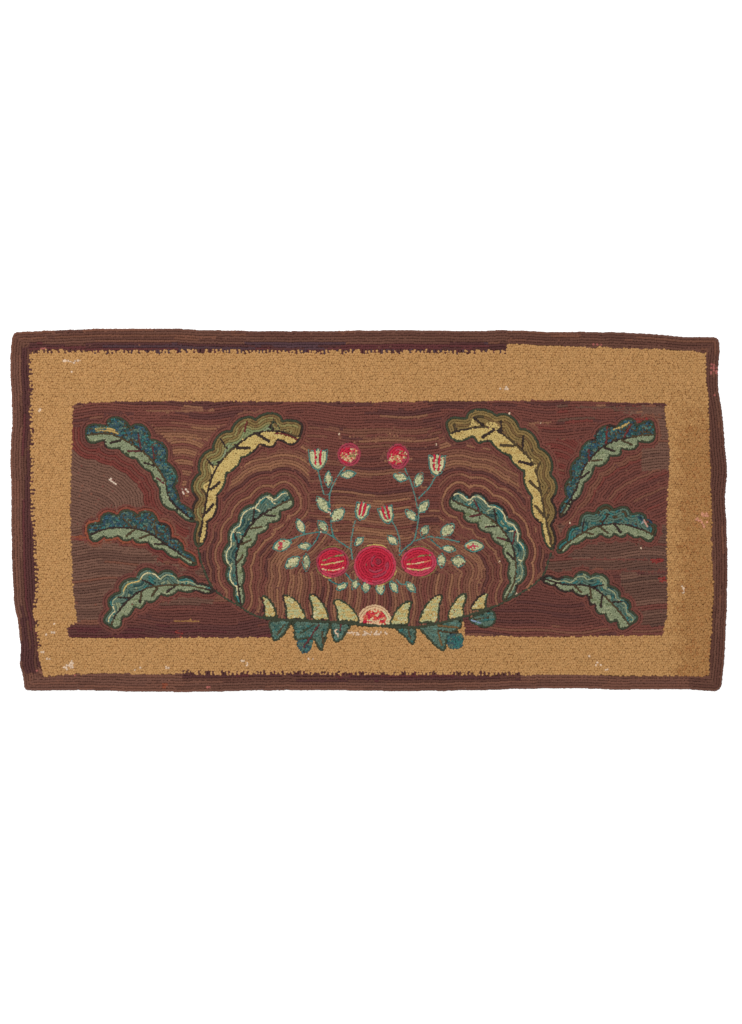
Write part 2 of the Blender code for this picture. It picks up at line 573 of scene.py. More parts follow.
# Each blend of wools is a list of shares and dyes.
blue_rows = (
    (3, SLATE), (3, DEEP_TEAL), (1, NAVY), (1, STEEL_BLUE), (1, TEAL), (2.4, RIB_BROWN), (2, GREY_TEAL),
)
green_blue_rows = ((1, DEEP_TEAL), (6, GREY_TEAL), (1, SLATE), (2, TEAL), (1, RIB_BROWN))
teal_rows = ((7, GREY_TEAL), (1, DEEP_TEAL), (1.6, TEAL), (1, SAGE))
sage_rows = ((8, SAGE), (1, PALE_SAGE), (0.8, MOSS))
green_sage_rows = ((5, MOSS_SAGE), (2, SAGE), (1, MOSS))
straw_rows = ((7, STRAW), (2, GOLD_STRAW))
cream_row = ((4, CREAM), (2, PALE_SAGE), (1, STRAW))
green_outline = ((5, DARK_GREEN), (1, BLACK_BROWN))
rib_row = ((3, RIB_BROWN), (2, BLACK_BROWN))
dark_row = ((1, BLACK_BROWN), (1, RIB_BROWN))
plum_row = ((2, PLUM), (1, BLACK_BROWN))
rust_row = ((2, RUST), (4, DEEP_RUST), (1, MAROON_VEIN))
maroon_row = ((3, MAROON_VEIN), (1, PLUM))


def scallops(lobes, share, depth):
    """How far a leaf's edge stands off its midrib: round lobes with sharp notches between them."""
    count = len(lobes)
    place = np.clip(share, 0, 0.9999) * count
    lobe = place.astype(int)
    within = place - lobe
    lobes = np.asarray(lobes, float)
    before = np.where(lobe > 0, np.minimum(lobes[lobe - 1], lobes[lobe]), 3.0)
    after = np.where(lobe < count - 1, np.minimum(lobes[np.minimum(lobe + 1, count - 1)], lobes[lobe]), 0.0)
    notch = depth * (before * (1 - within) + after * within)
    return notch + (lobes[lobe] - notch) * np.sin(math.pi * within) ** 0.62


class Leaf:
    """A leaf drawn on the cloth: its midrib from stem to tip and the edges on either side."""

    def __init__(self, midrib, upper, lower, flip=1):
        self.rib = smooth(midrib)
        ahead = np.gradient(self.rib, axis=0)
        ahead /= np.hypot(ahead[:, 0], ahead[:, 1])[:, None]
        self.side = np.column_stack([-ahead[:, 1], ahead[:, 0]]) * flip
        share = np.linspace(0, 1, len(self.rib))
        self.upper = scallops(upper, share, 0.75)
        self.lower = scallops(lower, share, 0.78)
        self.slant = self.side + ahead * 0.28
        self.upper_edge = self.rib + self.slant * self.upper[:, None]
        self.lower_edge = self.rib - (self.side - ahead * 0.28) * self.lower[:, None]
        self.mask = inside(np.vstack([self.upper_edge, self.lower_edge[::-1]]))
        self.upper_half = inside(np.vstack([self.upper_edge, self.rib[::-1]])) & self.mask

    def vein(self, share, near, far, lean=0.06):
        """A line between two shares of the leaf's width there, which are less than 0 below the midrib."""
        start = round(share * (len(self.rib) - 1))
        end = min(start + round(lean * len(self.rib)), len(self.rib) - 1)
        spread = self.upper if far > 0 else self.lower
        return np.array([self.rib[start] + self.side[start] * spread[start] * near,
                         self.rib[end] + self.side[end] * spread[end] * far])

    def echo(self, inset):
        """A line that keeps a set way in from the upper edge."""
        first, last = round(0.08 * len(self.rib)), round(0.97 * len(self.rib))
        off = np.maximum(self.upper - inset, 3.0)[:, None]
        return smooth((self.rib + self.slant * off)[first:last:3])


# How far along the midrib the veins of the lower half start.
THREE_VEINS = (0.325, 0.47, 0.61)
FOUR_VEINS = THREE_VEINS + (0.755,)


def hook_leaf(leaf, upper_wools, lower_wools, upper_veins=(), lower_veins=FOUR_VEINS, vein_wools=dark_row,
              run=2.5, thread=None, slash=(-0.12, -0.6), slash_gauge=(4.8, 3.8)):
    """Outline, midrib and veins first, then the upper half in rows and the lower one in loose loops."""
    since = len(loop_place)
    field = depth_in(leaf.mask)
    lower_half = leaf.mask & ~leaf.upper_half
    hook_rows(field, leaf.mask, green_outline, (5.6, 3.7), 20.0, levels=[0])
    hook_line(leaf.rib, rib_row, (4.8, 3.8), run=20.0, spare=0.5, lift=1.05)
    for share in upper_veins:
        hook_line(leaf.vein(share, 0.1, 0.6), vein_wools, (4.4, 3.8), lift=1.06)
    for share in lower_veins:
        hook_line(leaf.vein(share, *slash), vein_wools, slash_gauge, lift=1.12)
    if thread is not None:
        hook_line(leaf.echo(thread[0]), cream_row, (3.8, 3.6), run=20.0, spare=0.5)
        for share in thread[1:]:
            hook_line(leaf.vein(share, 0.74, 0.3, 0.02), cream_row, (3.8, 3.6), run=20.0)
    if run < 1.5:
        stipple(leaf.upper_half, upper_wools, (4.4, 4.2), run)
    else:
        hook_rows(field, leaf.upper_half, upper_wools, FINE, run)
    stipple(lower_half & (field > 4.4), lower_wools, (4.5, 4.2), 2.0)
    fill_gaps(leaf.upper_half, None if callable(upper_wools) else upper_wools, since=since)
    fill_gaps(lower_half & (field > 3.8), lower_wools)
    fill_gaps(lower_half, green_outline)
    motif_mask[leaf.mask] = True


def inner_contour(x, y):
    """Next to the tall leaves' midribs: straw low down and sage above."""
    return straw_rows if y < 95 else green_sage_rows


def contour_rows(level):
    """The left tall leaf's outer half: olive and khaki rows, then sage or straw."""
    rows = (
        ((3, OLIVE), (2, BROWN_OLIVE)), ((3, KHAKI), (1, OLIVE)), ((2, OLIVE), (1, BROWN_OLIVE)),
        ((3, KHAKI), (2, OLIVE)), inner_contour,
    )
    return rows[min(max(level - 1, 0), 4)]


def grain_rows(level):
    """The right tall leaf's outer half: olive rows with brown lines between them."""
    rows = (
        ((4, OLIVE), (1, GOLD_OLIVE)), ((3, GOLD_OLIVE), (2, OLIVE)), ((2, BROWN_OLIVE), (1, RIB_BROWN)),
        ((3, OLIVE), (2, GOLD_OLIVE)), ((3, GOLD_OLIVE), (2, OLIVE)), ((2, BROWN_OLIVE), (1, OLIVE)),
    )
    return rows[max(level - 1, 0) % 6]


def beside(leaf, start, end, off):
    """A stretch of line that keeps a set way off the midrib, on its upper side."""
    first, last = round(start * (len(leaf.rib) - 1)), round(end * (len(leaf.rib) - 1))
    return leaf.rib[first:last] + leaf.side[first:last] * off


SPOT_SPREAD = (0.55, 0.65)
SPOT_PACKING = (1.03, 0.93)


def stipple(allowed, wools, gauge, run=0.0):
    """Loops set close together in no rows, each turned its own way."""
    rows, cols = np.nonzero(allowed)
    low_x, high_x = cols.min() + CELL_LEFT, cols.max() + CELL_LEFT
    y = rows.min() + CELL_BOTTOM
    shift = 0.0
    while y < rows.max() + CELL_BOTTOM + 1:
        numbers = []
        for x in np.arange(low_x + shift, high_x + 1, gauge[1] * SPOT_PACKING[0]):
            spot_x = x + draw.normal(0, SPOT_SPREAD[0])
            spot_y = y + draw.normal(0, SPOT_SPREAD[1])
            if not allowed[int(spot_y - CELL_BOTTOM), int(spot_x - CELL_LEFT)]:
                continue
            number = hook_loop(spot_x, spot_y, draw.random() * math.pi, gauge, 0.35)
            if number is not None:
                numbers.append(number)
        dye_row(numbers, wools, run)
        y += gauge[0] * SPOT_PACKING[1]
        shift = gauge[1] / 2 - shift


motif_mask = np.zeros(taken.shape, bool)

# How wide each leaf's lobes are from its base to its tip, above the midrib and below it.
TOP_LEFT = ((16, 22, 30, 42, 48, 40, 23), (11, 20, 22, 26, 28, 32, 20))
TOP_RIGHT = ((13, 26, 28, 31, 38, 42, 32), (10, 15, 23, 33, 35, 28, 18))
MIDDLE = ((13, 24, 36, 43, 39, 34, 22), (11, 17, 24, 31, 29, 23, 20))
BOTTOM_LEFT = ((12, 20, 33, 42, 38, 34, 22), (11, 16, 25, 34, 33, 26, 20))
BOTTOM_RIGHT = ((12, 19, 30, 36, 31, 31, 26), (10, 17, 26, 36, 37, 33, 23))
TALL = ((14, 28, 38, 41, 43, 43, 40, 32), (15, 27, 32, 35, 34, 37, 24))
INNER = ((13, 24, 30, 34, 37, 38, 28), (12, 18, 25, 30, 33, 30, 18))
BAR = (5.0, 3.8)
BROAD_BAR = (7.0, 3.8)

left_from = len(loop_place)
top_left = Leaf([(-369, -25), (-420, 20), (-435, 68), (-473, 118), (-543, 160), (-602, 159)], *TOP_LEFT, -1)
for off in (6, 10.5):
    hook_line(beside(top_left, 0.76 + off / 200, 0.93, off),
              ((3, KHAKI), (2, GOLD_STRAW), (1, OLIVE)), THIN, 6)
hook_leaf(top_left, blue_rows, sage_rows, (0.5, 0.62), FOUR_VEINS, plum_row, run=0.6)
middle_left = Leaf([(-365, -116), (-414, -84), (-476, -44), (-546, -38), (-595, -53)], *MIDDLE, -1)
hook_leaf(middle_left, blue_rows, sage_rows, (0.42, 0.64), THREE_VEINS, run=0.6)
bottom_left = Leaf([(-327, -172), (-394, -159), (-472, -166), (-525, -206), (-549, -248)], *BOTTOM_LEFT, -1)
hook_leaf(bottom_left, teal_rows, sage_rows, (0.5, 0.72), THREE_VEINS, thread=(12.0,))
tall_left = Leaf([(-363, -80), (-350, -9), (-335, 64), (-305, 114), (-245, 161), (-187, 167), (-146, 153)],
                 *TALL)
hook_line(beside(tall_left, 0.86, 0.99, -5), ((1, MAROON_VEIN),), THIN)
hook_line([(-264, 166), (-259, 187)], ((2, MAROON_VEIN), (1, RIB_BROWN)), THIN)
hook_line([(-207, 172), (-203, 190), (-190, 174)], ((1, DARK_GREEN),), (4.2, 3.8))
hook_lines([[(-302, 131), (-315, 152)], [(-331, 94), (-343, 108)], [(-344, 35), (-357, 45)],
            [(-212, 175), (-202, 193)]], dark_row, BAR)
hook_leaf(tall_left, contour_rows, straw_rows, lower_veins=(0.185, 0.325, 0.61, 0.755), slash=(-0.08, -0.62),
          slash_gauge=BROAD_BAR)
inner_left = Leaf([(-271, -205), (-281, -131), (-277, -79), (-237, -18), (-161, 26)], *INNER)
hook_leaf(inner_left, teal_rows, sage_rows, (0.46, 0.66), thread=(9.5, 0.3, 0.52, 0.72, 0.84))
make_pile("left_leaves", range(left_from, len(loop_place)))

right_from = len(loop_place)
top_right = Leaf([(405, -16), (438, 42), (461, 97), (503, 139), (562, 156), (608, 161)], *TOP_RIGHT)
hook_line([(519, 171), (536, 176), (551, 186)], ((3, GOLD_STRAW), (1, SAGE)), run=4)
hook_lines([[(503, 142), (506, 176)], [(541, 155), (555, 181)], [(468, 104), (466, 128)]],
           maroon_row, (6.0, 3.8))
hook_leaf(top_right, blue_rows, sage_rows, run=0.6)
for x1, y1, x2, y2, fleck in ((570, -14, 577, -20, NAVY), (584, -22, 590, -34, DUSTY_PINK),
                              (592, -20, 599, -26, NAVY), (578, -28, 584, -24, PEWTER)):
    hook_line([(x1, y1), (x2, y2)], ((1, fleck),), THIN)
middle_right = Leaf([(399, -91), (432, -62), (484, -34), (545, -31), (608, -53)], *MIDDLE)
hook_leaf(middle_right, green_blue_rows, sage_rows, (0.3, 0.5), THREE_VEINS, run=2.0)
bottom_right = Leaf([(365, -144), (412, -157), (474, -164), (529, -212), (554, -246)], *BOTTOM_RIGHT)
hook_leaf(bottom_right, teal_rows, sage_rows, (0.5, 0.72), THREE_VEINS, thread=(12.0,))
tall_right = Leaf([(390, -85), (373, -10), (354, 84), (321, 130), (259, 174), (195, 169), (169, 161)],
                  *TALL, -1)
hook_lines([[(281, 168), (280, 188)], [(326, 130), (328, 156)], [(357, 86), (363, 102)],
            [(243, 180), (223, 196)]], dark_row, BAR)
for corners in ([(219, 195), (215, 177), (237, 180)], [(246, 184), (274, 187), (278, 168), (254, 177)],
                [(347, 96), (359, 98), (355, 85)]):
    stipple(inside(corners), straw_rows, (4.4, 4.0), 2.0)
hook_leaf(tall_right, grain_rows, straw_rows, lower_veins=(0.185,) + FOUR_VEINS, slash=(-0.08, -0.62),
          slash_gauge=BROAD_BAR)
inner_right = Leaf([(287, -195), (310, -144), (305, -78), (260, -20), (172, 24)], *INNER, -1)
hook_leaf(inner_right, teal_rows, sage_rows, (0.44, 0.63, 0.78), FOUR_VEINS, plum_row,
          thread=(9.5, 0.3, 0.5, 0.7, 0.84))
make_pile("right_leaves", range(right_from, len(loop_place)))


# The flowers: the long stem with its tooth-shaped leaves, half rose and hanging leaves, and above it
# the roses, tulips, buds and small leaves on their sprays, all hooked in wool before the ground.
CRIMSON = dye(183, 42, 62)
DEEP_RED = dye(170, 38, 56)
PINK = dye(182, 66, 84)
MAGENTA = dye(156, 62, 76)
PLUM_PINK = dye(138, 50, 62)
PEACH = dye(208, 172, 134)
ORANGE_PINK = dye(196, 104, 82)
LEAF_GREEN = dye(184, 184, 142)
LEAF_TEAL = dye(92, 124, 114)
TOOTH_STRAW = dye(188, 164, 106)
TOOTH_GREEN = dye(174, 172, 126)
WORN_PALE = dye(212, 184, 156)
TWIG_TEAL = dye(80, 124, 116)
LEAF_DEEP = dye(64, 92, 84)
SALMON = dye(202, 78, 64)
HEART_TAN = dye(176, 132, 92)
PALE_BLUE = dye(128, 146, 168)

stem_row = ((4, DARK_GREEN), (1, BLACK_BROWN))
twig_row = ((4, TWIG_TEAL), (3, LEAF_TEAL), (1.4, TEAL))
fringe_row = ((4, LEAF_TEAL), (3, TWIG_TEAL), (1, GREY_TEAL))
pale_green = ((4, LEAF_GREEN), (2, PALE_SAGE), (1, CREAM))
FRINGE = (3.2, 3.4)
FRINGE_WIDTH = 3.0


def hook_shape(outline, rings, run=12.0, gauge=FINE, fringe=None, flat=False):
    """Fills a closed shape with rings of loops from its edge in, or flat, inside a fringe if it has one."""
    whole = mask = inside(outline)
    field = depth_in(mask)
    if fringe:
        hook_rows(field, mask, fringe, FRINGE, 3.0, levels=[0], first=1.3)
        field = field - FRINGE_WIDTH
        mask = mask & (field > 0)
    since = len(loop_place)
    if flat:
        stipple(mask, rings[0], gauge, run)
    else:
        hook_rows(field, mask, lambda level: rings[min(max(level, 0), len(rings) - 1)], gauge, run)
    fill_gaps(mask, since=since)
    motif_mask[whole] = True


def hook_patch(corners, wools, gauge, run, rim_wools=None, rim=(FINE, 0.0), depth=-1.0, gap_depth=-1.0):
    """Fills a smooth closed shape with loose loops, inside an outline row if it has one."""
    mask = inside(smooth(corners, closed=True))
    field = depth_in(mask)
    if rim_wools:
        hook_rows(field, mask, rim_wools, rim[0], 12, levels=[0], first=rim[1])
    stipple(mask & (field > depth), wools, gauge, run)
    fill_gaps(mask & (field > gap_depth), wools)
    motif_mask[mask] = True


def turned(points, x, y, turn):
    """Points turned by so many degrees and set down at x, y."""
    tilt = math.radians(turn)
    return np.column_stack([x + points[:, 0] * math.cos(tilt) - points[:, 1] * math.sin(tilt),
                            y + points[:, 0] * math.sin(tilt) + points[:, 1] * math.cos(tilt)])


def oval(x, y, long, wide, turn=0.0, point=0.0):
    """A closed outline: an oval that may be pointed at its ends."""
    angle = np.linspace(0, 2 * math.pi, 72, endpoint=False)
    across = np.sin(angle) * wide / 2 * (1 - point * np.cos(angle) ** 2)
    return turned(np.column_stack([np.cos(angle) * long / 2, across]), x, y, turn)


def line_mask(points, width):
    """The cells under a row hooked along a line."""
    mask = np.zeros(taken.shape, bool)
    line = even(np.asarray(points, float), 1.0)
    mask[(line[:, 1] - CELL_BOTTOM).astype(int), (line[:, 0] - CELL_LEFT).astype(int)] = True
    view = window(mask, 8)
    mask[view] = distance_from(mask[view], 6) < width / 2
    return mask


flowers_from = len(loop_place)
stem = smooth([(-363, -80), (-352, -121), (-327, -169), (-273, -205), (-220, -229), (-83, -237), (2, -244),
               (100, -248), (198, -227), (287, -195), (363, -146), (386, -93)])
hook_line(stem[np.abs(stem[:, 0] - 12) < 250], stem_row, (7.6, 4.05), run=20, spare=0.5)
hook_line(stem, stem_row, PLAIN, run=20, spare=0.5)
motif_mask |= line_mask(stem, 5.6)

tooth_outline = ((3, DARK_GREEN), (1, BLACK_BROWN))
tooth_fill = ((3, TOOTH_GREEN), (4, TOOTH_STRAW), (0.6, CREAM), (0.6, GOLD_STRAW))
teeth = ((-228, -194, -182, -228, -1), (-184, -133, -180, -232, -1), (-127, -84, -178, -234, -1),
         (-76, -20, -190, -237, -1), (45, 92, -193, -244, 1), (106, 156, -180, -239, 1),
         (166, 208, -178, -231, 1), (216, 254, -176, -212, 1))
for left, right, top, base, lean in teeth:
    front, back = (left, right) if lean < 0 else (right, left)
    high = top - base
    across = back - front
    corners = [
        (front, top - 2), (front + across * 0.28, top), (front + across * 0.64, top - high * 0.26),
        (back - across * 0.1, base + high * 0.36), (back, base + 1), (front + across * 0.6, base),
        (front + across * 0.18, base + 2), (front + across * 0.13, base + high * 0.5),
    ]
    hook_patch(corners, tooth_fill, (4.4, 4.2), 1.5, tooth_outline, ((5.0, 3.7), 1.7), 4.0, 3.4)


def half_oval(x, y, wide, high):
    return [(x + wide * math.cos(a), y + high * math.sin(a)) for a in np.linspace(0, math.pi, 24)]


half_rose = half_oval(12, -241, 38, 41) + [(-26, -247), (50, -247)]
inner_rose = half_oval(12, -240, 25, 28) + [(-13, -246), (37, -246)]
half_rose_rings = (
    ((6, PEACH), (0.4, ORANGE_PINK)), ((4, PEACH), (1, CREAM)), ((3, CRIMSON), (2, ORANGE_PINK)),
    ((2, CRIMSON), (2, ORANGE_PINK), (1, CREAM)),
)
stipple(inside(inner_rose), ((4, CRIMSON), (3, SALMON), (3, PEACH), (1, CREAM)), (4.2, 4.0), 1.0)
hook_shape(half_rose, half_rose_rings, 5)

hanging_leaves = (
    [(-210, -236), (-209, -257), (-203, -276), (-190, -274), (-174, -255), (-167, -236)],
    [(-160, -237), (-159, -256), (-158, -273), (-147, -276), (-127, -272), (-115, -278), (-108, -292),
     (-101, -298), (-93, -284), (-88, -260), (-84, -238), (-120, -234)],
    [(-78, -239), (-80, -262), (-73, -279), (-59, -277), (-48, -262), (-38, -240)],
    [(56, -248), (66, -261), (77, -271), (92, -285), (98, -279), (97, -249)],
    [(103, -248), (112, -258), (124, -271), (144, -291), (156, -299), (163, -293), (165, -277), (171, -264),
     (192, -252), (198, -240), (196, -230), (150, -240)],
    [(214, -230), (222, -242), (244, -249), (263, -245), (270, -228), (262, -212), (240, -217)],
)
bright_lobes = (
    [(-149, -275), (-152, -290), (-142, -302), (-128, -301), (-121, -288), (-122, -276)],
    [(167, -266), (168, -288), (181, -295), (197, -289), (200, -268), (186, -257)],
)
leaf_teal_rows = ((6, GREY_TEAL), (2, LEAF_DEEP), (1.4, LEAF_TEAL), (0.5, TEAL))
bright_rows = ((3, SLATE), (1.6, TEAL), (2, GREY_TEAL), (1, DEEP_TEAL))
vein_row = ((5, RIB_BROWN), (1, BROWN_OLIVE), (1, DARK_GREEN))
hanging_veins = (
    (vein_row, [(-180, -243), (-194, -264)]), (plum_row, [(-103, -239), (-120, -264), (-138, -290)]),
    (vein_row, [(-115, -243), (-145, -260)]), (vein_row, [(-99, -258), (-97, -286)]),
    (plum_row, [(-59, -240), (-62, -257)]), (vein_row, [(82, -249), (88, -272)]),
    (vein_row, [(144, -245), (188, -249)]), (vein_row, [(147, -256), (190, -261)]),
    (vein_row, [(146, -257), (154, -286)]), (vein_row, [(224, -232), (252, -228)]),
)
for wools, line in hanging_veins:
    hook_line(line, wools, (5.4, 3.8))
hook_line([(218, -234), (236, -239)], ((1, PALE_BLUE),), (4.6, 3.8))
for corners in bright_lobes:
    hook_patch(corners, bright_rows, (4.6, 4.0), 2.0)
for corners in hanging_leaves:
    hook_patch(corners, leaf_teal_rows, (4.6, 4.2), 2.0, green_outline, ((5.4, 3.7), 2.0))

side_red = ((5, CRIMSON), (1, DEEP_RED))
middle_red = ((6, CRIMSON), (1, DEEP_RED), (1.4, PINK))
plum_ring = ((2, DEEP_RED), (1, MAGENTA), (1, PLUM_PINK))
arc_row = ((3, PEACH), (2, STRAW), (2, ORANGE_PINK), (0.6, CRIMSON))
arcs = (
    # rise, tilt and sag of each arc across a side rose, and its wools
    (9, 6, -3, ((3, KHAKI), (2, RUST))), (-1, 4, 1, arc_row), (-13, 1, 4, arc_row),
)
MIDDLE_ROSE = (13, -117, 90, 84)
for x, y, wide, high in (MIDDLE_ROSE, (-77, -111, 70, 64), (106, -110, 76, 62)):
    if (x, y, wide, high) == MIDDLE_ROSE:
        red, plum = middle_red, plum_ring
        hook_shape(oval(x + 7, y + 8, 34, 34), (plum, red, plum, red), 14)
    else:
        red = plum = side_red
        for rise, tilt, sag, wools in arcs:
            left, right = x - wide * 0.31, x + wide * 0.31
            arc = [(left, y + rise - tilt), (x, y + rise - sag), (right, y + rise + tilt)]
            hook_line(smooth(arc), wools, (4.2, 3.6), run=2.0)
    for start, end in ((60, 125), (200, 262) if x < 0 else (280, 342)):
        turns = np.radians(np.linspace(start, end, 12))
        rim = np.column_stack([x + np.cos(turns) * (wide / 2 + 2), y + np.sin(turns) * (high / 2 + 2)])
        hook_line(rim, ((3, OLIVE), (2, GOLD_STRAW)), (3.6, 3.6), run=4)
    rings = (((3, PINK), (2, MAGENTA)), ((3, PINK), (3, CRIMSON)), red, plum, red, plum, red, red)
    hook_shape(oval(x, y, wide, high), rings, 14)

heart_row = ((4, PEACH), (2, HEART_TAN), (1.4, ORANGE_PINK), (1, KHAKI), (1.4, CRIMSON))
small_rose_rings = (((3, MAGENTA), (1, PINK)), ((2, MAGENTA), (2, CRIMSON)), ((4, CRIMSON), (1, PINK)))
for x, y, wide, high in ((-42, 118, 50, 50), (62, 114, 48, 54)):
    for part_x, part_y, long, tall in ((-10, -5, 18, 20), (9, 3, 20, 20), (0, -8, 24, 16)):
        stipple(inside(oval(x + part_x, y + part_y, long, tall)), heart_row, (4.0, 3.8), 0.6)
    hook_shape(oval(x, y, wide, high), small_rose_rings, 8)

tulips = ((-108, 107, 40, 44, 0), (144, 95, 36, 45, -2), (-15, -3, 30, 38, -14), (38, -10, 32, 38, 16))
cup = np.array([(0, -0.5), (-0.27, -0.37), (-0.44, -0.1), (-0.5, 0.47), (-0.2, 0.42), (0, 0.5), (0.2, 0.42),
                (0.5, 0.47), (0.44, -0.1), (0.27, -0.37)])
petal_bars = (
    # off the middle, wool and gauge
    (0.0, pale_green, (3.4, 3.6)),
    (-0.15, ((1, CRIMSON),), (5.4, 3.7)),
    (0.15, ((1, CRIMSON),), (5.4, 3.7)),
)
tulip_rings = (((6, LEAF_GREEN), (1, CREAM)), pale_green)
for x, y, wide, high, turn in tulips:
    for off, wools, gauge in petal_bars:
        bar = np.array([(off * 0.9, -0.2), (off * 1.05, 0.46)]) * (wide, high)
        hook_line(turned(bar, x, y, turn), wools, gauge, spare=0.5)
    hook_shape(turned(cup * (wide + 2, high + 2), x, y, turn), tulip_rings, 3, fringe=fringe_row)

bud_rings = (((4, LEAF_GREEN), (1, ORANGE_PINK)), ((2, LEAF_GREEN), (1, PINK)))
for x, y, turn in ((-184, -74, 20), (223, -76, 0)):
    hook_shape(oval(x, y, 42, 26, turn, 0.3), bud_rings, 0.5, (4.2, 3.8), fringe_row)

small_leaves = (
    (-86, 65, 34, 15, 90), (-44, 76, 32, 15, 10), (-98, 12, 40, 20, -55), (-66, -10, 38, 22, 45),
    (-145, -34, 32, 16, -65), (-98, -34, 28, 18, -50), (-136, -76, 27, 13, 8), (-21, -66, 26, 14, 45),
    (-133, -111, 38, 15, 90), (-162, -111, 36, 22, 35), (67, 70, 30, 17, -15), (106, 65, 34, 17, 65),
    (116, 7, 32, 18, 50), (89, -10, 30, 16, -45), (118, -44, 26, 15, 60), (167, -42, 36, 22, 40),
    (170, -82, 28, 13, -10), (50, -64, 28, 15, -40), (154, -107, 30, 17, 90), (190, -108, 30, 23, -10),
    (-57, -162, 26, 13, 30), (-29, -157, 26, 13, 65), (-6, -163, 24, 16, 80), (24, -165, 28, 18, -80),
    (53, -163, 28, 14, -60), (89, -163, 28, 14, -50),
)
for x, y, long, wide, turn in small_leaves:
    outline = oval(x, y, long * 1.08, wide + 2.4, turn, 0.5)
    hook_shape(outline, (pale_green,), 2.0, (4.2, 4.0), fringe_row, flat=True)

sprays = (
    [(-38, -83), (-52, -74), (-72, -59), (-79, -39), (-81, -15), (-83, 12), (-83, 34), (-74, 58), (-64, 75),
     (-52, 91)],
    [(-83, 34), (-95, 34), (-101, 55), (-108, 85)],
    [(-72, -59), (-91, -49), (-111, -47), (-145, -54), (-169, -64)],
    [(-102, -46), (-116, -69), (-130, -86)],
    [(-29, -22), (-35, -49), (-38, -74), (-35, -103)],
    [(77, 87), (87, 65), (95, 41), (101, 14), (105, -15), (101, -44), (94, -66), (74, -83), (65, -95)],
    [(140, 70), (128, 48), (106, 26)],
    [(94, -66), (128, -57), (157, -60), (191, -67)],
    [(132, -63), (152, -81)],
    [(50, -25), (60, -44), (66, -69), (65, -88)],
    [(-48, -135), (-36, -150), (-20, -158)],
    [(-90, -144), (-70, -156), (-51, -160)],
    [(59, -148), (70, -158), (84, -156)],
)
for points in sprays:
    twig = smooth(points)
    hook_line(twig, twig_row, (4.2, 3.6), run=7)
    motif_mask |= line_mask(twig, 5.2)
worn([(-84, -5, 7, 20), (-105, -47, 8, 8), (-68, -259, 8, 20)], WORN_PALE, 0.7, 0.9)
make_pile("flowers_and_stem", range(flowers_from, len(loop_place)))


# The frame: rows of dark brown wool that run round the rug beside its edge, the outermost lower.
# Plum and blue-black wool ends it in short uneven teeth.
GOLD_OUTER = [
    (-722, 327), (-719, 340), (-400, 341), (293, 340), (293, 353), (385, 348), (540, 345), (605, 342),
    (716, 335), (716, 275), (721, 226), (726, 40), (731, -169), (726, -272), (721, -352), (400, -351),
    (0, -351), (-583, -347), (-690, -353), (-696, -333), (-705, -286), (-713, -216), (-708, -169), (-717, 0),
]
gold_mask = inside(GOLD_OUTER)
from_edge = distance_from(~rug_mask, 60)

FRAME_BROWN = dye(104, 69, 57)
FRAME_DARK = dye(96, 62, 52)
FRAME_WARM = dye(112, 73, 58)
PLUM_BROWN = dye(84, 51, 49)
BLUE_BLACK = dye(80, 56, 60)
WORN_PINK = dye(158, 92, 84)
FRAME_PALE = dye(110, 74, 62)
FRAME_PALEST = dye(116, 77, 63)
TOOTHED_TO = 293
TOOTHED_BELOW = (-395, 322)

frame_blend = ((5, FRAME_BROWN), (3, FRAME_DARK), (2, FRAME_WARM))
warm_frame = ((4, FRAME_PALE), (2, FRAME_BROWN), (3, FRAME_PALEST))
right_frame = ((3, FRAME_BROWN), (5, FRAME_DARK), (1, FRAME_WARM))
plum_blend = ((4, PLUM_BROWN), (2, FRAME_DARK), (1, PLUM))
night_blend = ((4, PLUM_BROWN), (3, BLUE_BLACK), (1, PLUM))


def frame_wools(x, y):
    """Plum and blue-black next to the gold along the top, the left and part of the bottom."""
    if 325 < y < 354 and -722 < x < TOOTHED_TO:
        return night_blend if x > -600 else plum_blend
    if -737 < x < -700 and -345 < y < 345:
        return plum_blend
    if -364 < y < -340 and TOOTHED_BELOW[0] < x < TOOTHED_BELOW[1]:
        return plum_blend
    if y > 330:
        return frame_blend
    return right_frame if x > 680 else warm_frame


frame_from = len(loop_place)
frame_mask = rug_mask & ~gold_mask
hook_rows(from_edge, frame_mask, lambda level: frame_wools, PLAIN, 22.0, levels=range(0, 9))

# Short rows run in from the frame over the gold's edge as teeth, and here and there one is left out.
TOOTH_CHANCE = 0.85
gold_line = even(np.array(GOLD_OUTER + GOLD_OUTER[:1], float), 1.0)
position = 0.0
while position < len(gold_line) - 3:
    spot = gold_line[int(position)]
    x, y = spot
    ahead = gold_line[int(position) + 2] - spot
    inward = np.array([ahead[1], -ahead[0]]) / max(np.hypot(*ahead), 1e-6)
    toothed_below = y < -340 and TOOTHED_BELOW[0] < x < TOOTHED_BELOW[1]
    toothed = (y > 330 and x < TOOTHED_TO) or x < -700 or toothed_below
    if toothed and draw.random() < TOOTH_CHANCE:
        end = spot + inward * (1.0 + draw.uniform(2.0, 7.0))
        hook_line([spot + inward, end], frame_wools(x, y), (5.2, 3.9), 10, 0.6)
    position += draw.uniform(5.5, 9.5)
fill_gaps(frame_mask, since=frame_from)
worn([(486, 350, 22, 8), (731, 298, 18, 26), (738, 245, 8, 12), (-345, -375, 14, 8), (-708, -340, 9, 9),
      (-690, 344, 12, 7)], WORN_PINK, 0.5, 0.95)
worn([(-635, -345, 120, 12)], WORN_PINK, 0.2, 0.95)
worn([(-432, -373, 24, 7)], RUST, 0.7, 1.0)
OUTER_ROW = 5.0
OUTER_HEIGHT = 0.86
for number in range(frame_from, len(loop_place)):
    x, y = loop_place[number][:2]
    if from_edge[int(y - CELL_BOTTOM), int(x - CELL_LEFT)] < OUTER_ROW:
        loop_height[number] = OUTER_HEIGHT
make_pile("brown_frame", range(frame_from, len(loop_place)))


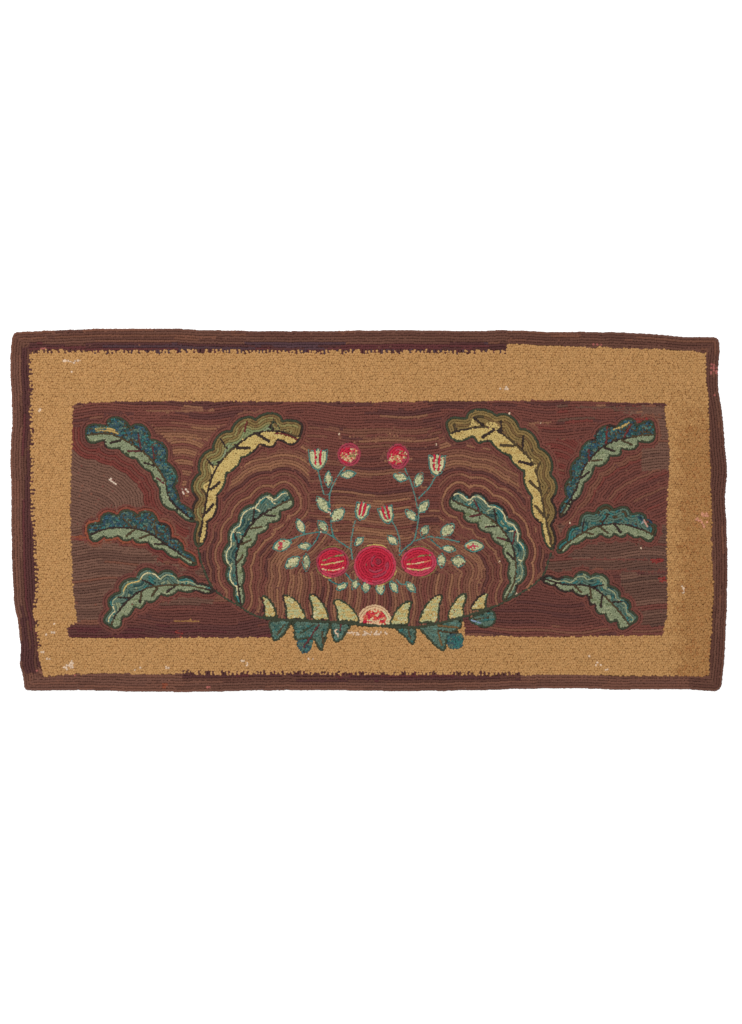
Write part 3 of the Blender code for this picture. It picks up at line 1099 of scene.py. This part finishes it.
# The gold border: a wide band of tan wool between the frame and the field, hooked without rows, every
# loop pulled up in its own direction, so that it looks like a fine pebbled ground.
FIELD = [
    (-627, 222), (-618, 228), (-428, 232), (-20, 229), (384, 234), (487, 231), (528, 229), (632, 227),
    (627, 215), (630, 189), (635, 160), (639, 116), (636, 60), (632, 0), (633, -221), (627, -244),
    (625, -266), (420, -269), (206, -268), (200, -231), (100, -251), (2, -247), (-83, -240), (-204, -236),
    (-206, -270), (-630, -271), (-640, -264), (-640, -250), (-630, -243), (-618, -238), (-628, -169),
    (-634, 0), (-628, 205),
]
TAN = dye(180, 136, 86)
TAN_LIGHT = dye(185, 140, 90)
TAN_DEEP = dye(175, 130, 81)
TAN_BROWN = dye(160, 110, 65)
TAN_RIGHT = dye(168, 123, 76)
TAN_DARK = dye(163, 118, 71)
RUBBED_PINK = dye(196, 138, 108)
PEBBLE = (5.0, 4.8)
field_mask = inside(FIELD)
border_mask = gold_mask & ~field_mask & ~motif_mask

tan_blend = ((4, TAN), (2.5, TAN_LIGHT), (1.5, TAN_DEEP))
right_blend = ((3, TAN_RIGHT), (3, TAN_DARK), (1, TAN_BROWN))
near_right_blend = ((3, TAN), (4, TAN_DEEP), (2, TAN_RIGHT))


def tan_wools(x, y):
    """Tan of three near shades, deeper on the right side."""
    wander = 9 * math.sin(y / 7) + 7 * math.sin(x / 3 + y / 5)
    if x + wander > 662 and y + 2 * wander < 195:
        return right_blend
    return near_right_blend if x + wander > 642 and y + 2 * wander < 240 else tan_blend


worn_border = [
    (-630, 318, 38, 12), (-631, 293, 10, 6), (-698, 213, 8, 8), (-665, -239, 9, 7), (-670, -259, 9, 6),
    (-688, -263, 9, 6), (-700, -277, 8, 9), (-693, -300, 9, 8), (-680, -314, 10, 7), (-636, -329, 26, 22),
    (-605, -336, 9, 6), (-503, -339, 12, 6), (-484, -334, 9, 6), (-430, -334, 10, 6), (289, 259, 8, 7),
    (472, -308, 12, 9), (487, -326, 18, 9), (505, -340, 12, 8), (-720, -176, 6, 8), (283, 257, 26, 8),
    (-13, -261, 110, 9), (-124, -314, 18, 8), (-266, -321, 12, 8), (-258, -327, 8, 6), (666, -170, 5, 18),
]
for name, side in (("gold_border_left", cell_x < 0), ("gold_border_right", cell_x >= 0)):
    border_from = len(loop_place)
    stipple(border_mask & side, tan_wools, PEBBLE)
    fill_gaps(border_mask & side, tan_wools)
    worn(worn_border, WORN_PALE, 0.5, 0.9)
    worn([(707, -20, 30, 34)], RUBBED_PINK, 0.35, 1.0)
    make_pile(name, range(border_from, len(loop_place)), 1.3, 1.1, 0.3)


# The field: the dark ground behind the leaves and flowers, hooked last in rows of brown, maroon and
# plum wool. The rows echo each leaf, and run level, upright or in arcs in the spaces between.
MAROON = dye(112, 66, 57)
MAROON_RED = dye(113, 58, 51)
GREY_BROWN = dye(113, 81, 68)
GREY_DEEP = dye(102, 72, 61)
GROUND_BROWN = dye(119, 77, 62)
LIGHT_BROWN = dye(141, 98, 73)
WARM_BROWN = dye(134, 92, 70)
DARK_PLUM = dye(92, 56, 52)
DEEP_MAROON = dye(102, 61, 54)
BRICK_MAROON = dye(116, 62, 54)
GREY_PLUM = dye(92, 66, 57)
BRIGHT_RED = dye(132, 56, 50)
OCHRE = dye(150, 108, 66)
PALE_THREAD = dye(206, 184, 164)

field_blend = ((4, MAROON), (3, GROUND_BROWN), (1, DARK_PLUM))
top_blend = ((6, MAROON), (1.4, DARK_PLUM), (0.6, WARM_BROWN), (1, GROUND_BROWN), (1.4, DEEP_MAROON))
right_top = ((6, MAROON), (2, DARK_PLUM), (1, GREY_DEEP), (2, MAROON_RED), (0.4, WARM_BROWN))
right_maroon = ((4, MAROON), (3, DEEP_MAROON), (1, BRICK_MAROON), (0.6, GROUND_BROWN))
light_blend = ((1.5, LIGHT_BROWN), (3, WARM_BROWN), (4, GROUND_BROWN), (1, MAROON))
red_blend = ((3, MAROON_RED), (3, MAROON), (1, GROUND_BROWN))
grey_blend = ((7, GREY_BROWN), (2, GREY_DEEP), (1, GROUND_BROWN))
right_grey = ((7, GREY_DEEP), (2, GREY_PLUM), (1, GREY_BROWN), (0.5, MAROON))
deep_maroon_blend = ((6, DEEP_MAROON), (1, DARK_PLUM), (1.4, MAROON))
plum_strip = ((4, DARK_PLUM), (2, PLUM), (1, MAROON))
centre_blend = ((2, GROUND_BROWN), (6, MAROON), (0.8, WARM_BROWN), (1.4, DARK_PLUM), (2, DEEP_MAROON))

open_field = field_mask & ~motif_mask
every_leaf = (top_left, middle_left, bottom_left, tall_left, inner_left,
              top_right, middle_right, bottom_right, tall_right, inner_right)
from_leaves = distance_from(np.any([leaf.mask for leaf in every_leaf], axis=0), 20)
from_inner_leaves = distance_from(inner_left.mask | inner_right.mask, 260)
from_top_leaves = distance_from(top_left.mask | top_right.mask, 190)
wave = 3.0 * np.sin(cell_y / 13 + cell_x / 60)
bowl_rows = from_inner_leaves + wave * (cell_y < -20) * (np.abs(cell_x) < 235)
upright_rows = cell_x + wave
level_rows = cell_y + 5 * np.sin(cell_x / 61 + 1.0) + 2.5 * np.sin(cell_x / 23 + cell_y / 50)
arch_rows = cell_y + 24 * ((np.abs(cell_x + 6) - 392) / 60) ** 2
bowl = inside(np.vstack([stem, tall_right.rib, tall_left.rib[::-1]]))


BOWL_BANDS = "mmlmmbmpblbblbbmlbmbmmbmblbbmblbmlbmmb"
BAND_WOOLS = {
    "m": ((5, MAROON), (1, DARK_PLUM)),
    "p": ((3, DARK_PLUM), (2, MAROON)),
    "b": ((5, GROUND_BROWN), (1.5, WARM_BROWN)),
    "l": ((2, LIGHT_BROWN), (3, WARM_BROWN)),
}


def bowl_wools(level):
    """Bands of maroon and brown that ring the inner leaves, each a few rows wide."""
    return BAND_WOOLS[BOWL_BANDS[level % len(BOWL_BANDS)]]


def side_wools(level):
    """Red and maroon rows next to the top leaves, then grey-brown ones."""
    return ((4, MAROON_RED), (2, MAROON)) if level < 6 else ((6, GREY_BROWN), (1, GREY_DEEP))


def shoulder_wools(level):
    """Light and dark brown arcs over the top leaves' shoulders."""
    return ((3, LIGHT_BROWN), (3, WARM_BROWN)) if level % 4 in (1, 2) else ((4, MAROON), (2, GROUND_BROWN))


gaps = {
    "left gap": inside(np.vstack([tall_left.rib[:-12], top_left.rib[::-1]])),
    "right gap": inside(np.vstack([tall_right.rib[:-12], top_right.rib[::-1]])),
}

# Each area: left, right, bottom and top, whether it is in the bowl between the tall leaves, then the
# rows that it is hooked in and their wools.
areas = (
    (-660, -200, -280, -243, None, level_rows, plum_strip),
    (-640, 640, 222, 250, None, level_rows, ((3, DARK_PLUM), (2, MAROON))),
    (580, 645, 84, 222, None, level_rows, grey_blend),
    (400, 640, 176, 222, None, level_rows, right_top),
    (-640, 640, 176, 222, None, level_rows, top_blend),
    (-75, 90, -75, 30, True, level_rows, light_blend),
    (-125, 150, -40, 200, True, level_rows, centre_blend),
    (-165, 185, -260, -135, True, upright_rows, bowl_wools),
    (-400, 400, -260, 180, True, bowl_rows, bowl_wools),
    (-470, -300, 20, 150, "left gap", arch_rows, shoulder_wools),
    (-500, -300, 120, 176, False, level_rows, light_blend),
    (-450, -340, -110, -10, False, from_top_leaves, lambda level: red_blend),
    (-640, -340, -30, 180, False, from_top_leaves, side_wools),
    (-640, -330, -200, -30, False, level_rows, grey_blend),
    (-640, -545, -245, -200, False, level_rows, grey_blend),
    (-640, -200, -245, -200, False, level_rows, deep_maroon_blend),
    (300, 470, 20, 150, "right gap", arch_rows, lambda level: red_blend),
    (300, 500, 120, 176, False, level_rows, right_maroon),
    (380, 640, -30, 180, False, from_top_leaves, lambda level: right_maroon),
    (380, 640, -130, -30, False, level_rows, right_grey),
    (536, 640, -245, -130, False, level_rows, right_grey),
    (200, 640, -245, -130, False, level_rows, deep_maroon_blend),
    (-700, 700, -300, 300, None, level_rows, field_blend),
)

odd_rows = (
    # a few short rows in left-over wools: from x, y to x, y, and the wool
    (-412, -235, -362, -236, OCHRE), (-601, -58, -636, -56, RUST), (-598, -64, -636, -62, MAROON_RED),
    (-379, 2, -372, -18, TAN_DEEP), (-373, 0, -369, -14, TAN_DEEP), (567, 193, 590, 193, BRIGHT_RED),
    (570, 187, 588, 187, BRIGHT_RED), (598, -105, 624, -105, BRIGHT_RED), (602, -110, 618, -110, BRIGHT_RED),
    (615, -145, 633, -145, BRIGHT_RED), (618, -150, 631, -150, BRIGHT_RED), (612, -38, 622, -50, MAROON_RED),
    (-410, -259, -396, -262, BRIGHT_RED),
    (-470, 210, -330, 211, WARM_BROWN), (-560, 205, -500, 206, DARK_PLUM), (520, 212, 630, 211, GREY_DEEP),
    (440, 218, 625, 217, GREY_DEEP), (540, 206, 630, 205, GREY_BROWN), (340, 184, 385, 186, WARM_BROWN),
    (470, -128, 632, -130, MAROON), (570, -134, 632, -135, DARK_PLUM), (430, -104, 590, -105, MAROON),
    (-550, 65, -538, 56, PALE_THREAD), (-397, 44, -393, 35, PALE_THREAD), (-388, 44, -384, 38, PALE_THREAD),
)


def echo_wools(level):
    """The rows next to a leaf: maroon, and a little brown from the second row on."""
    first = ((5, MAROON), (2, DEEP_MAROON))
    return first if level == 0 else first + ((0.7, GROUND_BROWN),)


worn_field = [(430, 164, 10, 7), (516, -65, 9, 6), (428, -29, 6, 6), (-72, 37, 14, 5), (290, 199, 6, 6)]
field_from = len(loop_place)
for x1, y1, x2, y2, wool_colour in odd_rows:
    hook_line([(x1, y1), (x2, y2)], ((1, wool_colour),), THIN)
around_middle = distance_from(middle_left.mask, 9)
hook_rows(around_middle, open_field & (around_middle < 9), rust_row, PLAIN, 25.0, levels=[0])
hook_rows(from_leaves, open_field & (from_leaves < 12), echo_wools, PLAIN, 35.0, levels=[0, 1])
for left, right, bottom, top, part, rows, wools in areas:
    area = open_field & (cell_x > left) & (cell_x < right) & (cell_y > bottom) & (cell_y < top)
    if part in gaps:
        area &= gaps[part]
    elif part is not None:
        area &= bowl == part
    hook_rows(rows, area, wools, PLAIN, 35.0)
fill_gaps(field_mask | open_field, since=field_from)
worn(worn_field, WORN_PALE, 0.4, 0.85)
specks = [(draw.uniform(-600, 600), draw.uniform(-240, 215), 4.5, 4.5) for _ in range(16)]
worn(specks, WORN_PALE, 1.0, 0.9)
for name, on_left in (("field_ground_left", True), ("field_ground_right", False)):
    make_pile(name, [n for n in range(field_from, len(loop_place)) if (loop_place[n][0] < 10) == on_left])


# The backs of the stitches: flat runs of the same wools on the underside of the cloth, with flax where
# no wool goes through. They are dyes held at the cloth's own points.
FLAX = dye(176, 152, 112)
places = np.empty(len(cloth.data.vertices) * 3)
cloth.data.vertices.foreach_get("co", places)
places = places.reshape(-1, 3) * 1000
number_at = taken[
    np.clip((places[:, 1] - CELL_BOTTOM).astype(int), 0, CELLS_HIGH - 1),
    np.clip((places[:, 0] - CELL_LEFT).astype(int), 0, CELLS_WIDE - 1),
]
stitch_dye = np.array([loop_dye[n] * 0.9 if n >= 0 else FLAX * 0.6 for n in number_at])
stitch_rgba = np.column_stack([stitch_dye, np.ones(len(stitch_dye))]).astype(np.float32)
stitches = cloth.data.color_attributes.new("stitch_dye", "FLOAT_COLOR", "POINT")
stitches.data.foreach_set("color", stitch_rgba.ravel())


# The floor, the light and the camera: a plain white floor, soft light from all round and a large panel
# overhead, and a long lens straight above the rug.
deselect_everything()
bpy.ops.mesh.primitive_plane_add(size=60.0, location=(0, 0, 0))
floor = bpy.context.active_object
floor.name = "floor"
white = new_material("white_floor", {
    "Base Color": (0.9, 0.9, 0.9, 1), "Roughness": 1.0,
    "Emission Color": (1, 1, 1, 1), "Emission Strength": 0.45,
})
floor.data.materials.append(white)

world = bpy.data.worlds.new("soft_room")
bpy.context.scene.world = world
world.use_nodes = True
set_inputs(world.node_tree.nodes["Background"], {"Color": (1.0, 1.0, 1.0, 1), "Strength": 0.85})

panel = bpy.data.lights.new("overhead_panel", "AREA")
panel.shape = "RECTANGLE"
panel.size = 3.0
panel.size_y = 2.0
panel.energy = 45.0
panel_object = bpy.data.objects.new("overhead_panel", panel)
panel_object.location = (-1.4, 1.8, 2.6)
panel_object.rotation_euler = (math.radians(-34), math.radians(-24), 0)
bpy.context.scene.collection.objects.link(panel_object)

lens = bpy.data.cameras.new("overhead_camera")
lens.sensor_width = 36.0
lens.lens = 66.28
camera = bpy.data.objects.new("overhead_camera", lens)
camera.location = (0.00446, -0.00393, 4.006)
bpy.context.scene.collection.objects.link(camera)
bpy.context.scene.camera = camera
bpy.context.scene.view_settings.view_transform = "Standard"
